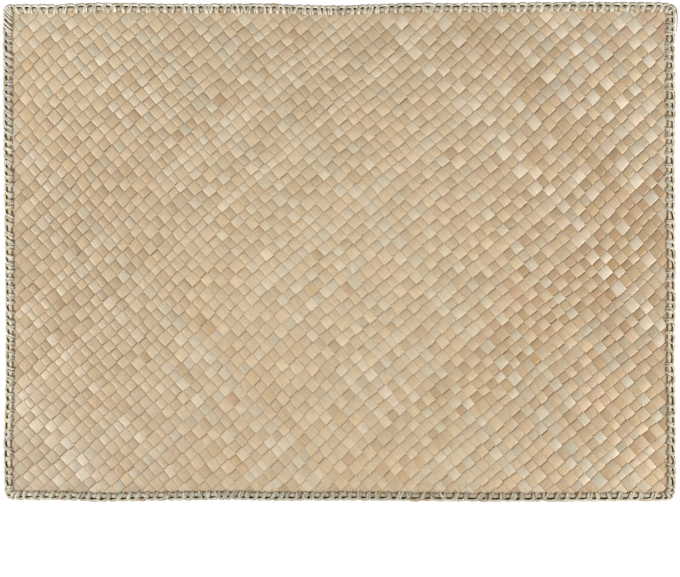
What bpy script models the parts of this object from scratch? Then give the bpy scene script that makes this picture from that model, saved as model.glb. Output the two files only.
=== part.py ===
"""Placemat of plaited leaf strips with a lashed edge, lying flat.

Units are metres, +Z is up. The origin is the centre of the mat's footprint, on the surface it lies on.
X runs along the long sides and Y along the short ones.
"""

import math
import random
from collections import namedtuple

import bmesh
import bpy

MM = 0.001

# The true rectangle that the hand-sewn edge follows.
MAT_LENGTH = 450 * MM
MAT_DEPTH = 334 * MM

# Layers at the rim, from the surface up.
CLEARANCE = 0.3 * MM
BAR_THICKNESS = 0.5 * MM
RIM_THICKNESS = 0.8 * MM
CORE_THICKNESS = 0.4 * MM
PANEL_THICKNESS = 1.3 * MM

RIM_BOTTOM = BAR_THICKNESS + CLEARANCE
RIM_TOP = RIM_BOTTOM + RIM_THICKNESS
CORE_BOTTOM = RIM_TOP + CLEARANCE
CORE_TOP = CORE_BOTTOM + CORE_THICKNESS
BAR_BOTTOM = CORE_TOP + CLEARANCE
BAR_TOP = BAR_BOTTOM + BAR_THICKNESS
PURL_TOP = BAR_TOP + 0.1 * MM
PURL_WAIST = 1.8 * MM

# Distances in from the outer edge.
PURL_FOOT = 0.5 * MM
PURL_CROWN = 1.5 * MM
PURL_WIDTH = 2.4 * MM
PANEL_EDGE = 3.1 * MM
CORE_WIDTH = 2.2 * MM
CORE_END = PANEL_EDGE + CORE_WIDTH
BAR_END = 6.3 * MM
RIM_END = 9 * MM
DIP_END = 22 * MM

# Each stitch is a bar over the core and a swell in the purl outside it.
BAR_WIDTH = 1.5 * MM
CORNER_STITCHES = 2
STITCH_UNEVENNESS = 0.12
PURL_SWELL = 0.2 * MM
STITCH_SEED = 7

OUTLINE_SPACING = 14 * MM
CORNER_STEPS = 5
LEAST_CORNER_RADIUS = 1 * MM
SHARP_ANGLE = math.radians(35)

EdgePlace = namedtuple("EdgePlace", "share outward_mm")
Side = namedtuple("Side", "name pitches_mm corner_radius places")
Station = namedtuple("Station", "side on_corner share")
SectionPoint = namedtuple("SectionPoint", "inset height swell")
SectionPoint.__new__.__defaults__ = (0.0,)
Finish = namedtuple("Finish", "name colour roughness")

# The sides in order, anticlockwise from above, each with the corner at its far end. The pitches are the
# distance from stitch to stitch at even steps along the side. A place is a share of the side's length and
# how far the edge stands out of the true rectangle there.
SIDES = (
    Side(
        "bottom",
        pitches_mm=(5.6, 7.0, 6.4, 5.4, 5.8, 7.0, 8.2, 7.7, 7.4, 7.2),
        corner_radius=6 * MM,
        places=(
            EdgePlace(0.00, -0.7),
            EdgePlace(0.08, -0.4),
            EdgePlace(0.15, 0.7),
            EdgePlace(0.23, 0.0),
            EdgePlace(0.33, -0.5),
            EdgePlace(0.42, 0.0),
            EdgePlace(0.52, -0.2),
            EdgePlace(0.64, 0.3),
            EdgePlace(0.75, 0.7),
            EdgePlace(1.00, 0.2),
        ),
    ),
    Side(
        "right",
        pitches_mm=(7.2, 7.3, 7.4, 7.1, 6.8, 6.4, 6.7, 6.3),
        corner_radius=7 * MM,
        places=(
            EdgePlace(0.00, 0.1),
            EdgePlace(0.15, 0.4),
            EdgePlace(0.30, -0.3),
            EdgePlace(0.42, 0.3),
            EdgePlace(0.58, 0.0),
            EdgePlace(0.70, -0.4),
            EdgePlace(0.78, 0.0),
            EdgePlace(0.88, -0.4),
            EdgePlace(1.00, 0.2),
        ),
    ),
    Side(
        "top",
        pitches_mm=(5.8, 5.8, 5.9, 6.5, 6.8, 4.7, 4.6, 4.5, 5.1, 6.5, 6.4, 5.3),
        corner_radius=5 * MM,
        places=(
            EdgePlace(0.00, 0.6),
            EdgePlace(0.15, 1.0),
            EdgePlace(0.28, 0.3),
            EdgePlace(0.40, 0.2),
            EdgePlace(0.51, -1.5),
            EdgePlace(0.62, -0.2),
            EdgePlace(0.75, -0.3),
            EdgePlace(0.86, 0.4),
            EdgePlace(0.94, -0.7),
            EdgePlace(1.00, -0.6),
        ),
    ),
    Side(
        "left",
        pitches_mm=(5.1, 5.2, 5.2, 5.5, 5.8, 5.5, 6.0, 6.6, 6.6),
        corner_radius=6 * MM,
        places=(
            EdgePlace(0.00, 0.6),
            EdgePlace(0.14, 0.4),
            EdgePlace(0.26, 0.5),
            EdgePlace(0.40, -0.2),
            EdgePlace(0.54, -0.5),
            EdgePlace(0.66, -1.0),
            EdgePlace(0.80, -0.7),
            EdgePlace(0.88, 0.3),
            EdgePlace(1.00, -0.4),
        ),
    ),
)

LEAF = Finish("plaited_leaf", colour=(0.57, 0.44, 0.29, 1.0), roughness=0.55)
CORE_LEAF = Finish("core_leaf", colour=(0.60, 0.54, 0.41, 1.0), roughness=0.6)
THREAD = Finish("leaf_thread", colour=(0.62, 0.56, 0.43, 1.0), roughness=0.65)


def outward_at(side, share):
    """How far a side stands out at a share of its length, eased between the rows of its table."""
    for before, after in zip(side.places, side.places[1:]):
        if share <= after.share:
            part = (share - before.share) / (after.share - before.share)
            eased = (1 - math.cos(math.pi * part)) / 2
            return (before.outward_mm + (after.outward_mm - before.outward_mm) * eased) * MM
    return side.places[-1].outward_mm * MM


def side_frame(index):
    """First corner, direction, outward normal and length of one side of the true rectangle."""
    half_x, half_y = MAT_LENGTH / 2, MAT_DEPTH / 2
    starts = ((-half_x, -half_y), (half_x, -half_y), (half_x, half_y), (-half_x, half_y))
    angle = index * math.pi / 2
    direction = (round(math.cos(angle)), round(math.sin(angle)))
    normal = (direction[1], -direction[0])
    length = MAT_LENGTH if index % 2 == 0 else MAT_DEPTH
    return starts[index], direction, normal, length


def arc_radius(index, inset):
    """Radius of the corner at a side's far end once the outline is moved in by inset."""
    return max(SIDES[index].corner_radius - inset, LEAST_CORNER_RADIUS)


def corner_reach(index, inset):
    """Distance from a corner of the true rectangle to where its arc meets the side."""
    return inset + arc_radius(index, inset)


def side_point(index, share, inset):
    """A point on a side, at a share of the stretch between its two corner arcs."""
    start, direction, normal, length = side_frame(index)
    before, after = index - 1, (index + 1) % len(SIDES)
    first, last = corner_reach(before, inset), corner_reach(index, inset)
    first -= outward_at(SIDES[before], 1 - first / side_frame(before)[3])
    last = length - last + outward_at(SIDES[after], last / side_frame(after)[3])
    along = first + (last - first) * share
    out = outward_at(SIDES[index], along / length) - inset
    return (
        start[0] + direction[0] * along + normal[0] * out,
        start[1] + direction[1] * along + normal[1] * out,
    )


def corner_point(index, share, inset):
    """A point on the arc at a side's far end, at a share of its quarter turn."""
    after = (index + 1) % len(SIDES)
    corner, _, after_normal, after_length = side_frame(after)
    _, _, normal, length = side_frame(index)
    reach = corner_reach(index, inset)
    out = outward_at(SIDES[index], 1 - reach / length) - reach
    after_out = outward_at(SIDES[after], reach / after_length) - reach
    arc = arc_radius(index, inset)
    angle = math.atan2(normal[1], normal[0]) + math.pi / 2 * share
    return (
        corner[0] + out * normal[0] + after_out * after_normal[0] + arc * math.cos(angle),
        corner[1] + out * normal[1] + after_out * after_normal[1] + arc * math.sin(angle),
    )


def edge_point(station, inset):
    """The point of the outline at a station, moved in by inset."""
    place = corner_point if station.on_corner else side_point
    return place(station.side, station.share, inset)


def plain_stations():
    """Even stations round the mat, for the pieces that have no stitches."""
    stations = []
    for index in range(len(SIDES)):
        steps = round(side_frame(index)[3] / OUTLINE_SPACING)
        stations += [Station(index, False, step / steps) for step in range(steps + 1)]
        stations += [Station(index, True, step / CORNER_STEPS) for step in range(1, CORNER_STEPS)]
    return stations


def pitch_at(side, share):
    """Distance from stitch to stitch at a share of a side's length."""
    place = min(share, 1) * (len(side.pitches_mm) - 1)
    before = min(int(place), len(side.pitches_mm) - 2)
    first, second = side.pitches_mm[before : before + 2]
    return (first + (second - first) * (place - before)) * MM


def stitch_ends(side, length):
    """Shares of a side's length at which one stitch ends and the next begins, from 0 to 1."""
    ends = [0.0]
    while ends[-1] < length:
        ends.append(ends[-1] + pitch_at(side, ends[-1] / length))
    return [end / ends[-1] for end in ends]


def stitch_stations():
    """Two stations for each stitch round the mat, at the two edges of its bar."""
    hand = random.Random(STITCH_SEED)
    corner_ends = [stitch / CORNER_STITCHES for stitch in range(CORNER_STITCHES + 1)]
    stations = []
    for index, side in enumerate(SIDES):
        length = side_frame(index)[3]
        arc = side.corner_radius * math.pi / 2
        for on_corner, run, ends in ((False, length, stitch_ends(side, length)), (True, arc, corner_ends)):
            half_bar = BAR_WIDTH / 2 / run
            for start, end in zip(ends, ends[1:]):
                middle = (start + end) / 2 + hand.uniform(-1, 1) * STITCH_UNEVENNESS * (end - start)
                stations.append(Station(index, on_corner, middle - half_bar))
                stations.append(Station(index, on_corner, middle + half_bar))
    return stations


def footprint_centre():
    """Centre of the box round the purl's outer edge, which becomes the origin."""
    points = [edge_point(station, 0) for station in stitch_stations()]
    across = [x for x, _ in points]
    along = [y for _, y in points]
    return (min(across) + max(across)) / 2, (min(along) + max(along)) / 2


def panel_section():
    """Section of the plaited panel, from its flat underside out round the lifted rim to its flat top."""
    return (
        SectionPoint(DIP_END, 0),
        SectionPoint(RIM_END, RIM_BOTTOM),
        SectionPoint(PANEL_EDGE, RIM_BOTTOM),
        SectionPoint(PANEL_EDGE, RIM_TOP),
        SectionPoint(RIM_END, RIM_TOP),
        SectionPoint(DIP_END, PANEL_THICKNESS),
    )


def core_section():
    """Section of the flat leaf strip that the stitches hold down on the rim."""
    return (
        SectionPoint(PANEL_EDGE, CORE_BOTTOM),
        SectionPoint(CORE_END, CORE_BOTTOM),
        SectionPoint(CORE_END, CORE_TOP),
        SectionPoint(PANEL_EDGE, CORE_TOP),
    )


def purl_section():
    """Section of the corded purl outside the rim. Its second and fourth stretches carry the bars."""
    return (
        SectionPoint(PURL_FOOT, 0),
        SectionPoint(PURL_WIDTH, 0),
        SectionPoint(PURL_WIDTH, BAR_THICKNESS),
        SectionPoint(PURL_WIDTH, BAR_BOTTOM),
        SectionPoint(PURL_CROWN, PURL_TOP, -PURL_SWELL),
        SectionPoint(0, PURL_WAIST, PURL_SWELL),
    )


def leaf_material(look):
    """A plain coloured material."""
    made = bpy.data.materials.new(look.name)
    made.use_nodes = True
    shader = made.node_tree.nodes["Principled BSDF"]
    shader.inputs["Base Color"].default_value = look.colour
    shader.inputs["Roughness"].default_value = look.roughness
    shader.inputs["Metallic"].default_value = 0.0
    return made


def add_ring(mesh, stations, point, centre):
    """One ring of corners round the mat. Its swell goes in on a bar's first edge and out on its second."""
    ring = []
    for number, station in enumerate(stations):
        inset = point.inset + point.swell * (number % 2)
        x, y = edge_point(station, inset)
        ring.append(mesh.verts.new((x - centre[0], y - centre[1], point.height)))
    return ring


def loft(mesh, first, second):
    """A band of four-sided faces between two rings that have the same stations."""
    count = len(first)
    band = []
    for number in range(count):
        after = (number + 1) % count
        band.append(mesh.faces.new((first[number], first[after], second[after], second[number])))
    return band


def sweep(mesh, stations, section, closed, centre):
    """Lofts a section round the mat and gives its bands. An open section is closed by flat faces."""
    rings = [add_ring(mesh, stations, point, centre) for point in section]
    bands = [loft(mesh, first, second) for first, second in zip(rings, rings[1:])]
    if closed:
        bands.append(loft(mesh, rings[-1], rings[0]))
    else:
        mesh.faces.new(rings[0])
        mesh.faces.new(rings[-1])
    return bands


def draw_bars(mesh, band, stations, low, high, centre):
    """Draws every bar out of a band of the purl, in over the rim to the heights low and high."""
    for number, root in enumerate(band[::2]):
        tip = bmesh.ops.extrude_discrete_faces(mesh, faces=[root])["faces"][0]
        near, far = stations[2 * number], stations[2 * number + 1]
        for corner, (station, height) in zip(tip.verts, ((near, low), (far, low), (far, high), (near, high))):
            x, y = edge_point(station, BAR_END)
            corner.co = (x - centre[0], y - centre[1], height)


def finish(mesh, name, collection, look):
    """Turns a finished surface into a named object in the collection."""
    bmesh.ops.recalc_face_normals(mesh, faces=mesh.faces)
    data = bpy.data.meshes.new(name)
    mesh.to_mesh(data)
    mesh.free()
    data.materials.append(leaf_material(look))
    data.shade_smooth()
    data.set_sharp_from_angle(angle=SHARP_ANGLE)
    collection.objects.link(bpy.data.objects.new(name, data))


def build_panel(collection, centre):
    """The plaited panel, one flat sheet with its rim lifted and squeezed by the stitches."""
    mesh = bmesh.new()
    sweep(mesh, plain_stations(), panel_section(), False, centre)
    finish(mesh, "woven_panel", collection, LEAF)


def build_core(collection, centre):
    """The flat leaf strip along the rim, under the bars."""
    mesh = bmesh.new()
    sweep(mesh, plain_stations(), core_section(), True, centre)
    finish(mesh, "edge_core", collection, CORE_LEAF)


def build_stitching(collection, centre):
    """The lashing: a purl round the outside with a bar of thread over and under the rim at each stitch."""
    mesh = bmesh.new()
    stations = stitch_stations()
    bands = sweep(mesh, stations, purl_section(), True, centre)
    draw_bars(mesh, bands[1], stations, 0, BAR_THICKNESS, centre)
    draw_bars(mesh, bands[3], stations, BAR_BOTTOM, BAR_TOP, centre)
    finish(mesh, "edge_stitching", collection, THREAD)


def clear_scene():
    """Removes every object that the file opened with."""
    for old in list(bpy.data.objects):
        bpy.data.objects.remove(old)


def build_placemat():
    """Builds the panel, the core strip on its rim and the stitching round both."""
    collection = bpy.data.collections.new("placemat")
    bpy.context.scene.collection.children.link(collection)
    centre = footprint_centre()
    build_panel(collection, centre)
    build_core(collection, centre)
    build_stitching(collection, centre)


clear_scene()
build_placemat()
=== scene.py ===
"""Placemat of leaf strips plaited on the diagonal, with a pale leaf core lashed round its edge.

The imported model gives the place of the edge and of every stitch. The strips, the core and the lashing are
modelled here, and stand for the plain solids of the panel, the core and the stitching.
"""

import logging
import math
from dataclasses import astuple, dataclass, field
from enum import Enum

import bpy
import numpy as np
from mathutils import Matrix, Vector


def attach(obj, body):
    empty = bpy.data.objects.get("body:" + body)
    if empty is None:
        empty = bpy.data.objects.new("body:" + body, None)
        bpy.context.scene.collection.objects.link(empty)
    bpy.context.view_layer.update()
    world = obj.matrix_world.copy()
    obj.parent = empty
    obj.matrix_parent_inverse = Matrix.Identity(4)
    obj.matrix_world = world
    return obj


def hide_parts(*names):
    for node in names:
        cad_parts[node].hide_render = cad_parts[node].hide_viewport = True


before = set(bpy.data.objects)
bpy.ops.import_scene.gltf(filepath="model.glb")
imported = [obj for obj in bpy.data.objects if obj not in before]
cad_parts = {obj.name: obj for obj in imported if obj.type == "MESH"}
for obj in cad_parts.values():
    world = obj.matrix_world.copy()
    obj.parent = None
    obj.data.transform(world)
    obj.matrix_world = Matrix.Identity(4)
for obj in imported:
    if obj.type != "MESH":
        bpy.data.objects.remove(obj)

logging.basicConfig(level=logging.INFO, format="%(message)s")
log = logging.getLogger("placemat")

MM = 0.001
PANEL_NODE = "woven_panel"
CORE_NODE = "edge_core"
STITCHING_NODE = "edge_stitching"
BODY = "root"
GRAIN_MAP = "leaf_grain"
TONE_ATTRIBUTE = "leaf_tone"
# Shade of each corner: mostly painted shade, with some of the leaf's own browning and the loose thread's own
# dark colour.
SHADE_ATTRIBUTE = "leaf_shade"
WELD_DISTANCE = 0.002 * MM
NOISE_MIDDLE = (0.3, 0.7)
AGED = (0.92, 0.85, 0.77)
# Grey tint of painted light and shade that evens out the lamps' light over the mat.
PAINTED_LIGHT_AND_SHADE_GREY = (0.85, 0.85, 0.85)
COOL = (0.9, 0.93, 1.0)


def linear(red: float, green: float, blue: float) -> tuple[float, float, float]:
    """Turns a display colour, from 0 to 255, into the renderer's linear one."""
    shares = (channel / 255 for channel in (red, green, blue))
    return tuple(s / 12.92 if s <= 0.04045 else ((s + 0.055) / 1.055) ** 2.4 for s in shares)


def smooth_step(value: np.ndarray, low: float, high: float) -> np.ndarray:
    """Rises smoothly from 0 where the value is low to 1 where it is high."""
    share = np.clip((value - low) / (high - low), 0, 1)
    return share * share * (3 - 2 * share)


class LeafTone(Enum):
    """Tones that the dried leaf strips come in: a display colour and how common the tone is."""

    CREAM = ((217, 202, 176), 0.15)
    STRAW = ((207, 187, 154), 0.26)
    PEACH = ((210, 186, 154), 0.14)
    TAN = ((196, 172, 138), 0.14)
    GREY_GREEN = ((203, 190, 163), 0.16)
    GOLDEN = ((203, 177, 141), 0.07)
    ROSE = ((201, 176, 147), 0.05)

    @property
    def colour(self) -> np.ndarray:
        """The tone as a linear colour."""
        return np.array(linear(*self.value[0]))

    @property
    def commonness(self) -> float:
        """The share of strips that have this tone."""
        return self.value[1]


def new_material(name: str) -> tuple[bpy.types.Material, bpy.types.NodeTree, bpy.types.Node]:
    """Makes a node material.

    Args:
        name: The material's name.

    Returns:
        The material, its node tree and its Principled shader.
    """
    material = bpy.data.materials.new(name)
    material.use_nodes = True
    tree = material.node_tree
    return material, tree, tree.nodes["Principled BSDF"]


@dataclass(frozen=True)
class FibreFinish:
    """Dried leaf with fine veins along the strip, read from the piece's own grain map.

    The piece's shade attribute, mostly painted shade, browns it from 0 to 1, and turns it on to nearly black
    from 1 to 2.
    """

    name: str
    shade_colour: tuple[float, float, float]
    deep_colour: tuple[float, float, float]
    vein_spacing: float
    vein_length: float
    vein_contrast: float
    roughness: float
    relief: float
    specular: float = 0.35
    fleck_size: float = 0.9 * MM
    fleck_contrast: float = 0.05
    fleck_length: float = 1.7
    blotch_width: float = 6.0
    blotch_length: float = 0.5
    blotch_light: tuple[float, float] = (0.94, 1.05)
    roughness_range: tuple[float, float] = (-0.06, 0.08)
    bump_strength: float = 0.6

    def _grain(
        self, tree: bpy.types.NodeTree, spacing: float, length: float, detail: float
    ) -> bpy.types.Node:
        """Noise drawn out along the strip.

        Args:
            tree: The material's nodes.
            spacing: Width of one streak, in metres.
            length: Length of one streak, in metres.
            detail: Octaves of finer streaks.

        Returns:
            The noise node.
        """
        nodes, links = tree.nodes, tree.links
        grain_map = nodes.new("ShaderNodeUVMap")
        grain_map.uv_map = GRAIN_MAP
        stretch = nodes.new("ShaderNodeMapping")
        stretch.inputs["Scale"].default_value = (1 / spacing, 1 / length, 1)
        noise = nodes.new("ShaderNodeTexNoise")
        noise.inputs["Scale"].default_value = 1
        noise.inputs["Detail"].default_value = detail
        links.new(grain_map.outputs["UV"], stretch.inputs["Vector"])
        links.new(stretch.outputs["Vector"], noise.inputs["Vector"])
        return noise

    def _ranged(
        self, tree: bpy.types.NodeTree, source: bpy.types.NodeSocket, low: float, high: float
    ) -> bpy.types.NodeSocket:
        """Maps the middle of a noise to a range of numbers.

        Args:
            tree: The material's nodes.
            source: The noise.
            low: Number that a low noise becomes.
            high: Number that a high noise becomes.

        Returns:
            The socket that holds the number.
        """
        ranged = tree.nodes.new("ShaderNodeMapRange")
        limits = zip(("From Min", "From Max", "To Min", "To Max"), (*NOISE_MIDDLE, low, high))
        for limit, number in limits:
            ranged.inputs[limit].default_value = number
        tree.links.new(source, ranged.inputs["Value"])
        return ranged.outputs["Result"]

    def _scaled(
        self, tree: bpy.types.NodeTree, colour: bpy.types.NodeSocket, amount: bpy.types.NodeSocket
    ) -> bpy.types.NodeSocket:
        """Multiplies a colour by a number.

        Args:
            tree: The material's nodes.
            colour: The colour.
            amount: The number.

        Returns:
            The socket that holds the product.
        """
        scaled = tree.nodes.new("ShaderNodeVectorMath")
        scaled.operation = "SCALE"
        tree.links.new(colour, scaled.inputs[0])
        tree.links.new(amount, scaled.inputs["Scale"])
        return scaled.outputs["Vector"]

    def _multiplied(
        self,
        tree: bpy.types.NodeTree,
        colour: bpy.types.NodeSocket,
        by: tuple[float, float, float],
        share: bpy.types.NodeSocket,
    ) -> bpy.types.NodeSocket:
        """Multiplies a colour by another one, by a share that is held between 0 and 1.

        Args:
            tree: The material's nodes.
            colour: The colour.
            by: The other colour.
            share: How much of it.

        Returns:
            The socket that holds the result.
        """
        mixed = tree.nodes.new("ShaderNodeMix")
        mixed.data_type = "RGBA"
        mixed.blend_type = "MULTIPLY"
        mixed.inputs["B"].default_value = (*by, 1)
        tree.links.new(share, mixed.inputs["Factor"])
        tree.links.new(colour, mixed.inputs["A"])
        return mixed.outputs["Result"]

    def material(self) -> bpy.types.Material:
        """Builds the finish.

        Returns:
            The finished material.
        """
        material, tree, shader = new_material(self.name)
        nodes, links = tree.nodes, tree.links
        tone = nodes.new("ShaderNodeAttribute")
        tone.attribute_name = TONE_ATTRIBUTE
        shade = nodes.new("ShaderNodeAttribute")
        shade.attribute_name = SHADE_ATTRIBUTE
        veins = self._grain(tree, self.vein_spacing, self.vein_length, 3)
        blotches = self._grain(
            tree, self.vein_spacing * self.blotch_width, self.vein_length * self.blotch_length, 2
        )
        flecks = self._grain(tree, self.fleck_size, self.fleck_size * self.fleck_length, 1)
        mottled = tone.outputs["Color"]
        for noise, low, high in (
            (veins, 1 - self.vein_contrast, 1 + self.vein_contrast),
            (blotches, *self.blotch_light),
            (flecks, 1 - self.fleck_contrast, 1 + self.fleck_contrast),
        ):
            light = self._ranged(tree, noise.outputs["Fac"], low, high)
            mottled = self._scaled(tree, mottled, light)
        # Painted shade from the shade attribute: brown up to 1, then nearly black.
        deeper = nodes.new("ShaderNodeMath")
        deeper.operation = "SUBTRACT"
        deeper.inputs[1].default_value = 1
        links.new(shade.outputs["Fac"], deeper.inputs[0])
        browned = self._multiplied(tree, mottled, self.shade_colour, shade.outputs["Fac"])
        darkened = self._multiplied(tree, browned, self.deep_colour, deeper.outputs["Value"])
        links.new(darkened, shader.inputs["Base Color"])
        roughness = (self.roughness + change for change in self.roughness_range)
        links.new(self._ranged(tree, blotches.outputs["Fac"], *roughness), shader.inputs["Roughness"])
        shader.inputs["Specular IOR Level"].default_value = self.specular
        bump = nodes.new("ShaderNodeBump")
        bump.inputs["Strength"].default_value = self.bump_strength
        bump.inputs["Distance"].default_value = self.relief
        links.new(veins.outputs["Fac"], bump.inputs["Height"])
        links.new(bump.outputs["Normal"], shader.inputs["Normal"])
        return material


# The shade colours are the browns and near-blacks of painted shade.
LEAF_FINISH = FibreFinish(
    "plaited_leaf",
    shade_colour=linear(176, 122, 80),
    deep_colour=(0.16, 0.14, 0.1),
    vein_spacing=0.5 * MM,
    vein_length=12 * MM,
    vein_contrast=0.06,
    roughness=0.44,
    relief=0.06 * MM,
    specular=0.5,
)
CORE_FINISH = FibreFinish(
    "core_leaf",
    shade_colour=linear(140, 122, 84),
    deep_colour=(0.2, 0.18, 0.13),
    vein_spacing=0.35 * MM,
    vein_length=9 * MM,
    vein_contrast=0.12,
    roughness=0.58,
    relief=0.1 * MM,
)
THREAD_FINISH = FibreFinish(
    "leaf_thread",
    shade_colour=linear(140, 118, 84),
    deep_colour=(0.2, 0.18, 0.13),
    vein_spacing=0.3 * MM,
    vein_length=6 * MM,
    vein_contrast=0.24,
    roughness=0.6,
    relief=0.1 * MM,
)
CORE_TONE = np.array(linear(212, 203, 180))
THREAD_TONE = np.array(linear(216, 209, 190))


def round_through(points: np.ndarray, place: np.ndarray) -> np.ndarray:
    """Reads a smooth closed line through points, which are close together in its corners.

    Args:
        points: The line's points, one row each.
        place: Point numbers to read it at, whole or between.

    Returns:
        One point of the line for each place.
    """
    chords = np.roll(points, -1, axis=0) - points
    lengths = np.linalg.norm(chords, axis=1)
    heading = np.roll(points, -1, axis=0) - np.roll(points, 1, axis=0)
    heading /= np.linalg.norm(heading, axis=1, keepdims=True)
    heading *= np.minimum(lengths, np.roll(lengths, 1))[:, None]
    whole = np.floor(place).astype(int)
    part = (place - whole)[..., None]
    start, end = whole % len(points), (whole + 1) % len(points)
    return (
        points[start] * (2 * part**3 - 3 * part**2 + 1)
        + heading[start] * (part**3 - 2 * part**2 + part)
        + points[end] * (3 * part**2 - 2 * part**3)
        + heading[end] * (part**3 - part**2)
    )


def corners_of(mesh: bpy.types.Mesh) -> np.ndarray:
    """Reads a mesh's corners.

    Args:
        mesh: The mesh.

    Returns:
        One place for each corner.
    """
    corners = np.zeros(len(mesh.vertices) * 3, np.float32)
    mesh.vertices.foreach_get("co", corners)
    return corners.reshape(-1, 3)


@dataclass
class StitchedEdge:
    """The mat's edge, with one place for each stitch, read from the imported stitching.

    A place on the rim is a stitch number, whole at a bar and between two bars otherwise, and an inset in
    from the outer edge, in metres as on a side whose edging has its usual width.
    """

    node: str = STITCHING_NODE
    bar_reach: float = 6.3 * MM
    bar_top: float = 3.1 * MM
    purl_waist: float = 1.8 * MM
    spread: tuple[float, float] = (1.002, 0.999)
    drop: float = 0.2 * MM
    same: float = 0.01 * MM
    outer: np.ndarray = field(init=False)
    tips: np.ndarray = field(init=False)

    def __post_init__(self) -> None:
        """Reads the outer edge and the inner end of every bar."""
        waist = self._ring_at(self.purl_waist)
        tips = self._ring_at(self.bar_top)
        turned = (np.roll(waist, turn, axis=0) for turn in (0, 1, -1, 2, -2))
        waist = min(turned, key=lambda ring: np.linalg.norm(ring - tips, axis=1).sum())
        even = np.linalg.norm(tips[::2] - tips[1::2], axis=1).sum()
        odd = np.linalg.norm(tips[1:-1:2] - tips[2::2], axis=1).sum()
        if even > odd:
            waist, tips = np.roll(waist, 1, axis=0), np.roll(tips, 1, axis=0)
        self.outer, self.tips = (
            (ring[::2] + ring[1::2]) / 2 * np.array(self.spread) - np.array([0, self.drop])
            for ring in (waist, tips)
        )

    def _ring_at(self, height: float) -> np.ndarray:
        """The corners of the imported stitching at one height, in order round the mat.

        Args:
            height: Height above the surface, in metres.

        Returns:
            Their places seen from above, anticlockwise.
        """
        corners = corners_of(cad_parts[self.node].data).astype(float)
        level = corners[np.abs(corners[:, 2] - height) < self.same][:, :2]
        _, first = np.unique(np.round(level / self.same).astype(int), axis=0, return_index=True)
        level = level[first]
        return level[np.argsort(np.arctan2(level[:, 1], level[:, 0]))]

    @property
    def stitches(self) -> int:
        """How many stitches go round the mat."""
        return len(self.outer)

    def at(self, stitch: np.ndarray, inset: np.ndarray) -> np.ndarray:
        """The place of points on the rim, seen from above.

        Args:
            stitch: Stitch numbers.
            inset: Insets from the outer edge.

        Returns:
            One X and Y for each point.
        """
        outer = round_through(self.outer, stitch)
        inner = round_through(self.tips, stitch)
        return outer + (inner - outer) * (np.asarray(inset) / self.bar_reach)[..., None]

    def line(self, inset: float, steps: int = 4) -> np.ndarray:
        """A closed line round the mat at one inset, anticlockwise, with some points for each stitch."""
        stitch = np.arange(self.stitches * steps) / steps
        return self.at(stitch, np.full(len(stitch), inset))


@dataclass
class InsideOf:
    """Tells how far points lie inside a closed line round the mat."""

    line: np.ndarray
    _sides: list[tuple[int, int, np.ndarray, np.ndarray]] = field(init=False)

    def __post_init__(self) -> None:
        """Splits the line into the mat's four sides."""
        shares = self.line / np.abs(self.line).max(axis=0)
        across = np.abs(shares[:, 0]) > np.abs(shares[:, 1])
        self._sides = []
        for axis, on_side in ((0, across), (1, ~across)):
            for sign in (-1, 1):
                side = self.line[on_side & (np.sign(self.line[:, axis]) == sign)]
                side = side[np.argsort(side[:, 1 - axis])]
                self._sides.append((axis, sign, side[:, 1 - axis], side[:, axis]))

    def distance(self, points: np.ndarray) -> np.ndarray:
        """How far points lie inside the line, less than 0 outside it.

        Args:
            points: Places seen from above, in the last axis.

        Returns:
            One distance for each point, in metres.
        """
        gaps = [
            sign * (np.interp(points[..., 1 - axis], along, level) - points[..., axis])
            for axis, sign, along, level in self._sides
        ]
        return np.min(gaps, axis=0)


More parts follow.
